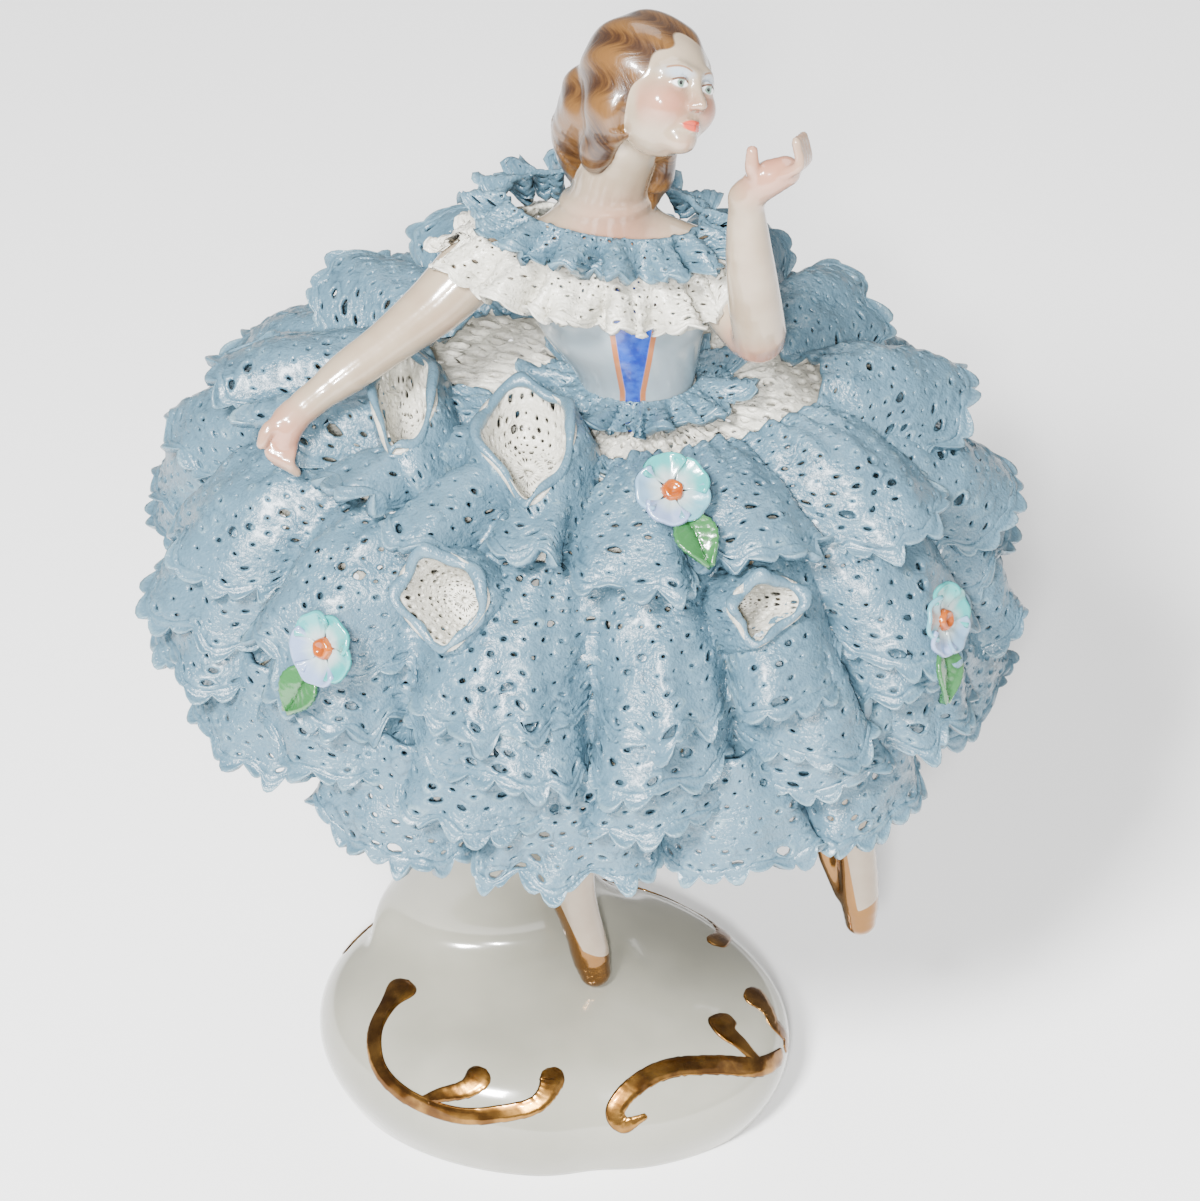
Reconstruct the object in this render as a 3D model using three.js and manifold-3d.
// A porcelain ballet dancer in a skirt of fired lace, standing on one toe on a moulded rococo mound.
// Millimetres, +Z up. The origin is the centre of the mound's flat underside, and the dancer faces -Y.
import * as THREE from "three";
import { mergeVertices } from "three/addons/utils/BufferGeometryUtils.js";
import Module from "manifold-3d";

const wasm = await Module();
wasm.setup();

// Driving dimensions
const DANCER_HEIGHT = 127; // from the standing toe to the crown
const MOUND_WIDTH = 57.5;
const MOUND_DEPTH = 45;
const TOE_HEIGHT = 14.6; // where the standing toe meets the mound
const STUMP_HEIGHT = 80; // the rise behind the standing leg, which ends inside the skirt
const STUMP_WIDTH = 30;
const STUMP_DEPTH = 17;
const STUMP_TO_SIDE = -7.5; // its middle, to her right of the origin
const LEG_CLEARANCE = 0.8; // between the standing leg and the stump
const LACE_THICKNESS = 0.7;
const JOINT_GAP = 0.3; // between pieces that were stuck together with slip
const FRILL_GAP = 0.5; // round the trunk and arms, where a frill is cut away for them
const WAIST_CLEARANCE = 1.5; // between the trunk and the hole at the top of the underskirt
const WAIST_FRILL_RISE = 2.4; // of the frill's inner edge above her waist
const BERTHA_RISE = 1.7; // of its inner edge above the middle of her shoulder
const NECK_FRILL_RISE = 4.2; // of its inner edge above that of the bertha
const FLOWER_WIDTH = 9.2;
const FLOWER_THICKNESS = 0.9;
const FLOWER_STAND_OFF = 0.9; // from the highest lace under a flower
const LEAF_LENGTH = 7.4;
const LEAF_THICKNESS = 0.8;

// The skirt is a dome whose radius and drop below the waist differ in front, at her two sides and behind.
const RIM_RADIUS = { front: 33, right: 40, back: 36.5, left: 39.8 };
const RIM_DROP = { front: 35.5, right: 32.5, back: 26, left: 26 };
const SQUARENESS = { front: 2.4, right: 2.8, back: 4, left: 3.2 };
const LAYER_RISE = 13; // how fast each lace layer stands off the one below it, per unit along the dome

// Lace layers, from the waist down. Reaches are shares of the way from the waist to the rim, and
// hemFront is how much further than to a layer reaches in front.
const LAYERS = [
  { name: "lace_tier_1", from: 0.2, to: 0.49, hemFront: 0, foldTop: 1.6, foldHem: 3.2, columns: "upper" },
  { name: "lace_tier_2", from: 0.45, to: 0.68, hemFront: 0.07, foldTop: 1.8, foldHem: 4.1, columns: "lower" },
  { name: "lace_tier_3", from: 0.58, to: 0.8, hemFront: 0.04, foldTop: 3, foldHem: 4.8, columns: "lower" },
  { name: "lace_tier_4", from: 0.7, to: 0.91, hemFront: 0.01, foldTop: 3.8, foldHem: 5.2, columns: "lower" },
  { name: "lace_tier_5", from: 0.82, to: 1.04, hemFront: -0.01, foldTop: 3.6, foldHem: 4.4, columns: "lower" },
];
// Where one fold ends and the next begins, in degrees round the skirt from the front towards her left hand.
const FOLD_STARTS = {
  upper: [-170, -142, -114, -87, -63, -44, -26, -8, 21, 50, 80, 108, 136, 163],
  lower: [-180, -156, -132, -108, -84, -57, -31, 2, 27, 47, 74, 100, 127, 153],
};
const STEPS_PER_FOLD = 4;
const STEPS_ACROSS_LACE = 2;

// Pose: places are given for a dancer 127 mm tall, from the tip of her standing toe.
const POSE_HEIGHT = 127;
const SIZE = DANCER_HEIGHT / POSE_HEIGHT;
const TOE = new THREE.Vector3(4.6, 0, TOE_HEIGHT + JOINT_GAP);
const pose = (x, y, z) => new THREE.Vector3(x, y, z).multiplyScalar(SIZE).add(TOE);

const BODY_RINGS = [
  // x, y, z of the ring's centre, half its width, half its depth
  [3.8, 3.5, 63, 4.5, 4],
  [3.8, 3.4, 70, 8, 6.2],
  [4.5, 2.5, 76, 6.4, 5.2],
  [4.7, 2, 80, 5.5, 4.6],
  [4.2, 1.4, 85, 6.6, 5.2],
  [2.8, 0.6, 90.5, 8.8, 6.4],
  [1.7, 0.6, 95, 9.6, 6.4],
  [0.9, 1.6, 99.5, 9.6, 5],
  [0.9, 2.6, 102.6, 6.2, 4.2],
  [0.9, 2.8, 104.5, 4.4, 3.9],
];
// Limbs: x, y, z and radius of each station
const STANDING_LEG = [
  [2, 3.5, 68, 5.4],
  [1.5, 2.6, 55, 4.8],
  [0.6, 1, 42, 3.3],
  [-0.6, 2, 32, 3.3],
  [-1.8, 2.1, 19, 1.9],
  [-2.2, 1.6, 12, 2.1],
  [-0.9, 0.5, 5, 1.8],
  [0, 0, 1, 1],
];
const STANDING_HEEL = [
  [-2, 2, 17, 1.6],
  [-4.4, 2.4, 13, 1.5],
  [-2.6, 1.4, 7.5, 1.2],
];
const LIFTED_LEG = [
  [7, 3, 68, 5.4],
  [16, -1.6, 63, 4.8],
  [24.6, -5.6, 55, 3.5],
  [27.2, -4.8, 43, 3.1],
  [28.7, -4.4, 31, 2.2],
  [29.7, -5.5, 23.5, 2.2],
  [30.1, -6.6, 18, 1.8],
  [30.3, -7, 14.5, 1.1],
];
const LIFTED_HEEL = [
  [28, -4, 27.5, 1.6],
  [26.4, -3.2, 23.6, 1.4],
  [28.6, -5.4, 18.2, 1.1],
];
const NECK = [
  [0.9, 2.9, 101.5, 4.5],
  [1.6, 2.2, 107.5, 4.3],
  [3.2, 0.8, 114, 4.3],
];
const RIGHT_ARM = [
  [-8, 1.6, 98.5, 3.9],
  [-12.5, 1, 97.8, 3.7],
  [-17, -1.6, 94.5, 3.2],
  [-22.3, -5, 91.6, 2.5],
  [-26.4, -7.2, 89.4, 2.3],
  [-30.2, -9.2, 87.2, 1.6],
];
const LEFT_ARM = [
  [8.5, 1.6, 98.5, 3.8],
  [12.3, 0.6, 97.6, 3.6],
  [14.8, -3.4, 95, 3.3],
  [17, -7.4, 94.2, 2.9],
  [16.5, -9.4, 99.5, 2.8],
  [15.7, -10.6, 106.5, 2.4],
  [15.3, -11, 113, 1.7],
];
const RIGHT_PALM = [
  [-30.2, -9.2, 87.2, 1.5],
  [-32.4, -10.6, 85.6, 1.9],
  [-33, -11.3, 83.8, 1.6],
];
const LEFT_PALM = [
  [15.3, -11, 113, 1.5],
  [17.2, -11.5, 115.3, 1.9],
  [19.2, -11.9, 116.6, 1.6],
];
const RIGHT_FINGER = { root: [-33.2, -11.6, 83.6], bend: [-0.2, -1.3, -1.1], tip: [0.5, -1.1, -2.4] };
const LEFT_FINGER = { root: [19.4, -11.9, 116.6], bend: [1.6, -0.2, 1.2], tip: [1.2, 0.3, 3.6] };
const RIGHT_THUMB = [
  [-32, -10.4, 86, 0.9],
  [-34.4, -12, 85.6, 0.8],
  [-35.2, -12.8, 84.2, 0.6],
];
const LEFT_THUMB = [
  [17, -11.6, 115.4, 0.9],
  [15.9, -12.2, 117, 0.8],
  [15.8, -12, 119, 0.6],
];
const FINGERS = 4;
const FINGER_SPREAD = 0.95;
const FINGER_RADIUS = 0.62;

// The head: where it is, which way the face looks and how it leans
const HEAD_CENTRE = [5.9, 0, 119.6];
const FACE_FORWARD = new THREE.Vector3(0.69, -0.62, 0.37).normalize();
const HEAD_UP = new THREE.Vector3(0.11, 0.6, 0.79);
// Ovals of the head: sideways, up and forward from its centre, then the same three half sizes
const HEAD_OVALS = [
  [0, 0.9, -0.6, 5.9, 6.2, 6.9],
  [0, -2.4, 1.9, 4.7, 5, 4.7],
  [0, -2.3, 6.4, 0.8, 1.5, 0.9],
];
const HAIR_OVALS = [
  [0, 1.7, -1.5, 6.7, 6.4, 6.8],
  [3.9, -1.6, -1.6, 2.6, 4.8, 3.6],
  [-3.9, -1.6, -1.6, 2.6, 4.8, 3.6],
];
// The hair hangs from the back of the head, behind her neck, to her left shoulder.
const HAIR_FALL = [
  [1.2, 3.2, 116, 5.2],
  [-0.3, 4.6, 111.5, 4.4],
  [0.6, 6, 107, 3.6],
  [4.8, 6.4, 103.2, 1.8],
];

// Closes a skin over rings of points, round each ring and from ring to ring, or right round as a band.
function skin(rings, band = false) {
  const count = rings[0].length;
  const points = rings.flat();
  const faces = [];
  const rows = band ? rings.length : rings.length - 1;
  for (let i = 0; i < rows; i++) {
    const here = i * count;
    const next = ((i + 1) % rings.length) * count;
    for (let j = 0; j < count; j++) {
      const k = (j + 1) % count;
      faces.push(here + j, next + j, next + k, here + j, next + k, here + k);
    }
  }
  if (!band) {
    for (const end of [0, rings.length - 1]) {
      const middle = points.length;
      points.push(rings[end].reduce((sum, p) => sum.add(p), new THREE.Vector3()).divideScalar(count));
      for (let j = 0; j < count; j++) {
        const pair = [end * count + j, end * count + ((j + 1) % count)];
        faces.push(middle, ...(end ? pair.reverse() : pair));
      }
    }
  }
  const geometry = new THREE.BufferGeometry().setFromPoints(points);
  geometry.setIndex(facingOut(points, faces));
  return geometry;
}

function facingOut(points, faces) {
  let volume = 0;
  for (let i = 0; i < faces.length; i += 3) {
    const [a, b, c] = [points[faces[i]], points[faces[i + 1]], points[faces[i + 2]]];
    volume += a.dot(b.clone().cross(c));
  }
  if (volume > 0) return faces;
  const turned = [];
  for (let i = 0; i < faces.length; i += 3) turned.push(faces[i], faces[i + 2], faces[i + 1]);
  return turned;
}

function toSolid(geometry) {
  const bare = geometry.clone();
  bare.deleteAttribute("normal");
  bare.deleteAttribute("uv");
  const merged = mergeVertices(bare, 1e-4);
  return new wasm.Manifold(
    new wasm.Mesh({
      numProp: 3,
      vertProperties: merged.attributes.position.array,
      triVerts: new Uint32Array(merged.index.array),
    }),
  );
}

function toGeometry(solid) {
  const mesh = solid.getMesh();
  const points = [];
  for (let i = 0; i < mesh.numVert; i++) {
    points.push(new THREE.Vector3().fromArray(mesh.vertProperties, i * mesh.numProp));
  }
  return new THREE.BufferGeometry().setFromPoints(points).setIndex([...mesh.triVerts]);
}

const join = (geometries) => geometries.map(toSolid).reduce((whole, piece) => whole.add(piece));

const largestPiece = (solid) =>
  solid.decompose().reduce((best, piece) => (piece.volume() > best.volume() ? piece : best));

// A tapering round limb through stations in the pose, with rounded ends; extra thickens it all over.
function limb(stations, sides, extra = 0) {
  const places = stations.map(([x, y, z]) => pose(x, y, z));
  const radii = stations.map(([, , , radius]) => radius * SIZE + extra);
  const last = places.length - 1;
  const startDirection = places[1].clone().sub(places[0]).normalize();
  const endDirection = places[last].clone().sub(places[last - 1]).normalize();
  const capSteps = [
    [0.95, 0.35],
    [0.6, 0.8],
  ];
  const rings = [];
  const addRing = (centre, radius, direction) => {
    const side = new THREE.Vector3(0, -1, 0).cross(direction).normalize();
    const front = direction.clone().cross(side);
    rings.push(
      Array.from({ length: sides }, (_, j) => {
        const angle = (2 * Math.PI * j) / sides;
        return centre
          .clone()
          .addScaledVector(side, radius * Math.cos(angle))
          .addScaledVector(front, radius * Math.sin(angle));
      }),
    );
  };
  const [along, shrink] = capSteps[1];
  addRing(places[0].clone().addScaledVector(startDirection, -radii[0] * along), radii[0] * shrink, startDirection);
  places.forEach((place, i) => {
    const before = places[Math.max(i - 1, 0)];
    const after = places[Math.min(i + 1, last)];
    addRing(place, radii[i], after.clone().sub(before).normalize());
  });
  addRing(places[last].clone().addScaledVector(endDirection, radii[last] * along), radii[last] * shrink, endDirection);
  return skin(rings);
}

function body(extra = 0) {
  const sides = 14;
  return skin(
    BODY_RINGS.map(([x, y, z, halfWidth, halfDepth]) =>
      Array.from({ length: sides }, (_, j) => {
        const angle = (2 * Math.PI * j) / sides;
        const point = pose(x + halfWidth * Math.cos(angle), y + halfDepth * Math.sin(angle), z);
        return point.add(new THREE.Vector3(Math.cos(angle), Math.sin(angle), 0).multiplyScalar(extra));
      }),
    ),
  );
}

// An oval turned with the head: its centre and half sizes run sideways, up and forward.
function headOval([side, up, forward, halfSide, halfUp, halfForward]) {
  const sideways = HEAD_UP.clone().cross(FACE_FORWARD).normalize();
  const upright = FACE_FORWARD.clone().cross(sideways);
  const turn = new THREE.Matrix4().makeBasis(sideways, upright, FACE_FORWARD);
  const centre = new THREE.Vector3(side, up, forward).applyMatrix4(turn).add(new THREE.Vector3(...HEAD_CENTRE));
  return new THREE.SphereGeometry(1, 11, 7)
    .scale(halfSide * SIZE, halfUp * SIZE, halfForward * SIZE)
    .applyMatrix4(turn)
    .translate(...pose(...centre.toArray()).toArray());
}

function fingers({ root, bend, tip }, across) {
  return Array.from({ length: FINGERS }, (_, i) => {
    const shift = (i - (FINGERS - 1) / 2) * FINGER_SPREAD;
    const start = root.map((value, axis) => value + across[axis] * shift);
    const stations = [[0, 0, 0], bend, tip].map((offset, n) => [
      ...start.map((value, axis) => value + offset[axis]),
      FINGER_RADIUS * (1 - 0.12 * n),
    ]);
    return limb(stations, 5);
  });
}

function dancer() {
  return join([
    body(),
    limb(NECK, 10),
    limb(STANDING_LEG, 8),
    limb(STANDING_HEEL, 6),
    limb(LIFTED_LEG, 8),
    limb(LIFTED_HEEL, 6),
    limb(RIGHT_ARM, 8),
    limb(LEFT_ARM, 8),
    limb(RIGHT_PALM, 7),
    limb(LEFT_PALM, 7),
    limb(RIGHT_THUMB, 5),
    limb(LEFT_THUMB, 5),
    ...fingers(RIGHT_FINGER, [0.75, -0.2, -0.35]),
    ...fingers(LEFT_FINGER, [0.3, 0.85, -0.25]),
    ...HEAD_OVALS.map(headOval),
    ...HAIR_OVALS.map(headOval),
    limb(HAIR_FALL, 8),
  ]);
}

// The space that the dancer's trunk and arms take up, with the joint gap all round
const dancerRoom = () =>
  join([body(FRILL_GAP), ...[RIGHT_ARM, LEFT_ARM, HAIR_FALL].map((stations) => limb(stations, 8, FRILL_GAP))]);

// A value that runs smoothly from the front, by her left hand and the back, to her right hand
function around(values, angle) {
  const [front, side] = [Math.cos(angle), Math.sin(angle)];
  return (
    (front > 0 ? values.front : values.back) * front ** 2 + (side > 0 ? values.right : values.left) * side ** 2
  );
}

const WAIST_RING = BODY_RINGS[3];
const WAIST = pose(...WAIST_RING.slice(0, 3));
const WAIST_OPENING = WAIST_RING[3] * SIZE + WAIST_CLEARANCE;
const SKIRT_CENTRE = new THREE.Vector2(WAIST.x - 6.3, WAIST.y + 2);
const WAIST_TO_TOP = 1;

// A point on the bare dome: angle round the skirt, and reach from 0 at the waist to 1 at the rim.
function domePoint(angle, reach) {
  const power = around(SQUARENESS, angle);
  const turn = (reach * Math.PI) / 2;
  const [out, up] = [Math.sin(turn), Math.cos(turn)];
  const size = (Math.abs(out) ** power + Math.abs(up) ** power) ** (-1 / power);
  const radius = WAIST_OPENING + (around(RIM_RADIUS, angle) - WAIST_OPENING) * size * out;
  const drop = around(RIM_DROP, angle) * (1 - size * up);
  const settle = THREE.MathUtils.smoothstep(reach, 0, 0.6);
  return new THREE.Vector3(
    THREE.MathUtils.lerp(WAIST.x, SKIRT_CENTRE.x, settle) + radius * Math.sin(angle),
    THREE.MathUtils.lerp(WAIST.y, SKIRT_CENTRE.y, settle) - radius * Math.cos(angle),
    WAIST.z + WAIST_TO_TOP - drop,
  );
}

function domeNormal(angle, reach) {
  const step = 0.01;
  const along = domePoint(angle, reach + step).sub(domePoint(angle, Math.max(reach - step, 0)));
  const round = new THREE.Vector3(Math.cos(angle), Math.sin(angle), 0);
  return round.cross(along).normalize().negate();
}

const domeOffset = (angle, reach, offset) => domePoint(angle, reach).addScaledVector(domeNormal(angle, reach), offset);

// A band of lace: closed round the skirt, with its two faces half a thickness to each side of the sheet.
function laceBand(angles, steps, sheet, thickness = LACE_THICKNESS) {
  return skin(
    angles.map((stop) => {
      const face = (side) =>
        Array.from({ length: steps + 1 }, (_, i) => sheet(stop, i / steps, (side * thickness) / 2));
      return [...face(1), ...face(-1).reverse()];
    }),
    true,
  );
}

// How far the cloth swells in a fold: nothing in the creases, one along its crest.
const swell = (share) => Math.sin(Math.PI * share) ** 0.85;

function foldStops(starts) {
  return starts.flatMap((start, i) => {
    const end = i + 1 < starts.length ? starts[i + 1] : starts[0] + 360;
    return Array.from({ length: STEPS_PER_FOLD }, (_, n) => {
      const share = n / STEPS_PER_FOLD;
      return { angle: THREE.MathUtils.degToRad(start + (end - start) * share), swell: swell(share) };
    });
  });
}

// How far a layer stands off the dome at a reach, with its folds swelled by a share of their depth
function standOff(layer, reach, swelled) {
  const share = (reach - layer.from) / (layer.to - layer.from);
  const fold = THREE.MathUtils.lerp(layer.foldTop, layer.foldHem, share);
  return LACE_THICKNESS + LAYER_RISE * (reach - layer.from) + fold * swelled;
}

const layerPoint = (layer, stop, reach, extra) =>
  domeOffset(stop.angle, reach, standOff(layer, reach, stop.swell) + extra);

const hemReach = (layer, angle) => layer.to + layer.hemFront * Math.max(0, Math.cos(angle)) ** 2;

const laceLayer = (layer) =>
  laceBand(foldStops(FOLD_STARTS[layer.columns]), STEPS_ACROSS_LACE, (stop, share, extra) =>
    layerPoint(layer, stop, THREE.MathUtils.lerp(layer.from, hemReach(layer, stop.angle), share), extra),
  );

const evenStops = (count) => Array.from({ length: count }, (_, i) => ({ angle: (2 * Math.PI * i) / count, index: i }));

const UNDERSKIRT_REACH = 0.93;
const underskirt = () =>
  laceBand(evenStops(28), 4, (stop, share, extra) =>
    domeOffset(stop.angle, share * UNDERSKIRT_REACH, extra - JOINT_GAP - LACE_THICKNESS / 2),
  );

// A small frill round the body: two ovals, waved up and down. Its inner edge is at the height base, and
// its outer edge hangs below that.
function frill({ centre, inner, outer, base, hang, waves, wave, lean = 0, spread = 0 }) {
  return laceBand(evenStops(waves * 3), 1, (stop, share, extra) => {
    const [sin, cos] = [Math.sin(stop.angle), Math.cos(stop.angle)];
    const stretch = sin < 0 ? 1 + spread * sin ** 2 : 1;
    const ripple = wave * Math.sin(waves * stop.angle) * share;
    const halfWidth = THREE.MathUtils.lerp(inner[0], outer[0], share) * stretch + ripple;
    const halfDepth = THREE.MathUtils.lerp(inner[1], outer[1], share) + ripple;
    const [x, y] = [halfWidth * sin, -halfDepth * cos];
    const height = base - hang * share + extra - lean * x + ripple * 0.6;
    return pose(centre[0] + x + extra * sin * 0.7, centre[1] + y - extra * cos * 0.7, height);
  });
}

const WAIST_FRILL = {
  centre: [4.7, 2],
  inner: [6.6, 5.8],
  outer: [10.6, 9.2],
  base: WAIST_RING[2] + WAIST_FRILL_RISE,
  hang: -0.8,
  waves: 11,
  wave: 0.7,
};
const BERTHA = {
  centre: [1.2, 0.8],
  inner: [12, 7.8],
  outer: [14.2, 10.4],
  base: LEFT_ARM[0][2] + BERTHA_RISE,
  hang: 4.8,
  waves: 11,
  wave: 0.8,
  lean: 0.13,
  spread: 0.22,
};
const NECK_FRILL = {
  centre: [0.9, 1],
  inner: [11.2, 7.6],
  outer: [13.2, 9.8],
  base: BERTHA.base + NECK_FRILL_RISE,
  hang: 2,
  waves: 11,
  wave: 0.9,
  lean: 0.13,
};

const fittedFrill = (settings, room) => toGeometry(largestPiece(toSolid(frill(settings)).subtract(room)));

// The mound: lobed rings from its underside up, each with its height as a share of the toe's height,
// its share of the full width and depth, and how far it has moved from the middle towards the stump.
const MOUND_CENTRE_BACK = 3; // the ring centre lies behind the origin, where the front lobes are deepest
const MOUND_RINGS = [
  { height: 0, share: 0.9, move: 0, lobe: 1 },
  { height: 0.2, share: 0.97, move: 0, lobe: 1 },
  { height: 0.52, share: 1, move: 0, lobe: 1 },
  { height: 0.8, share: 0.93, move: 0.05, lobe: 0.8 },
  { height: 0.96, share: 0.78, move: 0.16, lobe: 0.5 },
  { height: 1, share: 0.66, move: 0.3, lobe: 0.3 },
];
// The stump: its height above the mound and its width and depth, as shares of its own sizes
const STUMP_RINGS = [
  { rise: 0.01, width: 1, depth: 1 },
  { rise: 0.11, width: 0.8, depth: 0.88 },
  { rise: 0.28, width: 0.6, depth: 0.78 },
  { rise: 0.6, width: 0.46, depth: 0.66 },
  { rise: 1, width: 0.36, depth: 0.55 },
];
const MOUND_SIDES = 32;

function moundLobes(angle) {
  const notch = Math.exp(-(((angle - 0.18) / 0.16) ** 2));
  const rightLobe = Math.exp(-(((angle - 0.9) / 0.4) ** 2));
  const farRight = Math.exp(-(((angle - 2.2) / 0.6) ** 2));
  const farLeft = Math.exp(-(((angle + 2.2) / 0.7) ** 2));
  return 0.045 * rightLobe + 0.03 * farLeft - 0.04 * notch - 0.08 * farRight;
}

function ovalRing(x, y, height, halfWidth, halfDepth, lobe = 0) {
  return Array.from({ length: MOUND_SIDES }, (_, j) => {
    const angle = (2 * Math.PI * j) / MOUND_SIDES;
    const turned = angle > Math.PI ? angle - 2 * Math.PI : angle;
    const full = 1 + lobe * moundLobes(turned);
    return new THREE.Vector3(
      x + halfWidth * full * Math.sin(angle),
      y - halfDepth * full * Math.cos(angle),
      height,
    );
  });
}

function mound() {
  const legBack = Math.max(...STANDING_HEEL.map(([, y, , radius]) => (y + radius) * SIZE)) + TOE.y;
  const stumpBack = legBack + LEG_CLEARANCE + STUMP_DEPTH / 2;
  const low = MOUND_RINGS.map(({ height, share, move, lobe }) =>
    ovalRing(
      STUMP_TO_SIDE * move,
      THREE.MathUtils.lerp(MOUND_CENTRE_BACK, stumpBack, move),
      height * TOE_HEIGHT,
      (MOUND_WIDTH / 2) * share,
      (MOUND_DEPTH / 2) * share,
      lobe,
    ),
  );
  const high = STUMP_RINGS.map(({ rise, width, depth }) =>
    ovalRing(
      STUMP_TO_SIDE,
      legBack + LEG_CLEARANCE + (STUMP_DEPTH / 2) * depth,
      TOE_HEIGHT + rise * (STUMP_HEIGHT - TOE_HEIGHT),
      (STUMP_WIDTH / 2) * width,
      (STUMP_DEPTH / 2) * depth,
    ),
  );
  return skin([...low, ...high]);
}

// A flower of five cupped petals with a raised middle, lying on the lace and facing outwards.
const PETALS = 5;
const FLOWER_STEPS = 20;
function flower() {
  const outline = (share, height) =>
    Array.from({ length: FLOWER_STEPS }, (_, j) => {
      const angle = (2 * Math.PI * j) / FLOWER_STEPS;
      const petal = 0.74 + 0.26 * Math.abs(Math.sin((PETALS * angle) / 2)) ** 0.6;
      const radius = (FLOWER_WIDTH / 2) * share * (1 + (petal - 1) * Math.min(1, share * 1.2));
      return new THREE.Vector3(radius * Math.cos(angle), radius * Math.sin(angle), height);
    });
  const rim = FLOWER_WIDTH * 0.09;
  const petals = skin([
    outline(0.45, 0),
    outline(0.97, rim),
    outline(1, rim + FLOWER_THICKNESS * 0.5),
    outline(0.95, rim + FLOWER_THICKNESS * 0.7),
    outline(0.3, FLOWER_THICKNESS),
  ]);
  const middle = new THREE.CylinderGeometry(FLOWER_WIDTH * 0.09, FLOWER_WIDTH * 0.12, FLOWER_THICKNESS, 7)
    .rotateX(Math.PI / 2)
    .translate(0, 0, FLOWER_THICKNESS * 1.2);
  return toGeometry(join([petals, middle]));
}

function leaf() {
  const steps = 6;
  const rings = Array.from({ length: steps + 1 }, (_, i) => {
    const share = i / steps;
    const halfWidth = LEAF_LENGTH * (0.04 + 0.32 * Math.sin(Math.PI * share ** 0.8));
    const bend = LEAF_LENGTH * 0.1 * Math.sin(Math.PI * share);
    const along = LEAF_LENGTH * share;
    return [
      new THREE.Vector3(-halfWidth, -along, bend + LEAF_THICKNESS * 0.9),
      new THREE.Vector3(0, -along, bend),
      new THREE.Vector3(halfWidth, -along, bend + LEAF_THICKNESS * 0.9),
      new THREE.Vector3(0, -along, bend + LEAF_THICKNESS),
    ];
  });
  return skin(rings);
}

// Where each flower sits on the skirt: degrees round, reach, the turn of its petals and of its leaf
const POSIES = [
  { name: "left", round: -39, reach: 0.655, spin: 20, leafSpin: -32 },
  { name: "centre", round: 16.5, reach: 0.32, spin: -8, leafSpin: 34 },
  { name: "right", round: 59, reach: 0.665, spin: 40, leafSpin: -4 },
];

// The farthest that any lace under a place on the skirt stands off the dome
function crest(angle, reach) {
  const covering = LAYERS.filter((layer) => layer.from <= reach && reach <= hemReach(layer, angle));
  return Math.max(...covering.map((layer) => standOff(layer, reach, 1))) + LACE_THICKNESS / 2;
}

function onSkirt({ round, reach }) {
  const angle = THREE.MathUtils.degToRad(round);
  const downhill = reach + 0.05;
  const lift = Math.max(crest(angle, reach), crest(angle, downhill)) + FLOWER_STAND_OFF;
  const place = new THREE.Group();
  const outward = domeNormal(angle, reach);
  const uphill = new THREE.Vector3(0, 0, 1).addScaledVector(outward, -outward.z).normalize();
  const sideways = uphill.clone().cross(outward);
  place.setRotationFromMatrix(new THREE.Matrix4().makeBasis(sideways, uphill, outward));
  place.position.copy(domeOffset(angle, reach, lift));
  return place;
}

const porcelain = (name, color, roughness = 0.2, metalness = 0) => {
  const material = new THREE.MeshStandardMaterial({ color, roughness, metalness });
  material.name = name;
  return material;
};
const WHITE_GLAZE = porcelain("white_glaze", "#e4e3dd", 0.12);
const SKIN_GLAZE = porcelain("skin_glaze", "#efe4dc", 0.15);
const BLUE_LACE = porcelain("blue_lace", "#a9c1d6", 0.35);
const WHITE_LACE = porcelain("white_lace", "#e6e3da", 0.4);
const PETAL = porcelain("petal", "#b9e4e2", 0.25);
const LEAF_GREEN = porcelain("leaf_green", "#5aa75a", 0.25);

const figurine = new THREE.Group();
const addPiece = (name, geometry, material, parent = figurine) => {
  const mesh = new THREE.Mesh(geometry, material);
  mesh.name = name;
  parent.add(mesh);
  return mesh;
};

const room = dancerRoom();
addPiece("mound", mound(), WHITE_GLAZE);
addPiece("dancer", toGeometry(dancer()), SKIN_GLAZE);
addPiece("underskirt", underskirt(), WHITE_LACE);
for (const layer of LAYERS) addPiece(layer.name, laceLayer(layer), BLUE_LACE);
addPiece("waist_frill", fittedFrill(WAIST_FRILL, room), BLUE_LACE);
addPiece("bertha_frill", fittedFrill(BERTHA, room), WHITE_LACE);
addPiece("neck_frill", fittedFrill(NECK_FRILL, room), BLUE_LACE);
for (const posy of POSIES) {
  const place = onSkirt(posy);
  figurine.add(place);
  addPiece(`flower_${posy.name}`, flower(), PETAL, place).rotation.z = THREE.MathUtils.degToRad(posy.spin);
  const leafMesh = addPiece(`leaf_${posy.name}`, leaf(), LEAF_GREEN, place);
  const turn = THREE.MathUtils.degToRad(posy.leafSpin);
  leafMesh.rotation.z = turn;
  leafMesh.position.set(Math.sin(turn), -Math.cos(turn), 0).multiplyScalar(FLOWER_WIDTH / 2 + JOINT_GAP);
  leafMesh.position.z = FLOWER_THICKNESS;
}

export default figurine;
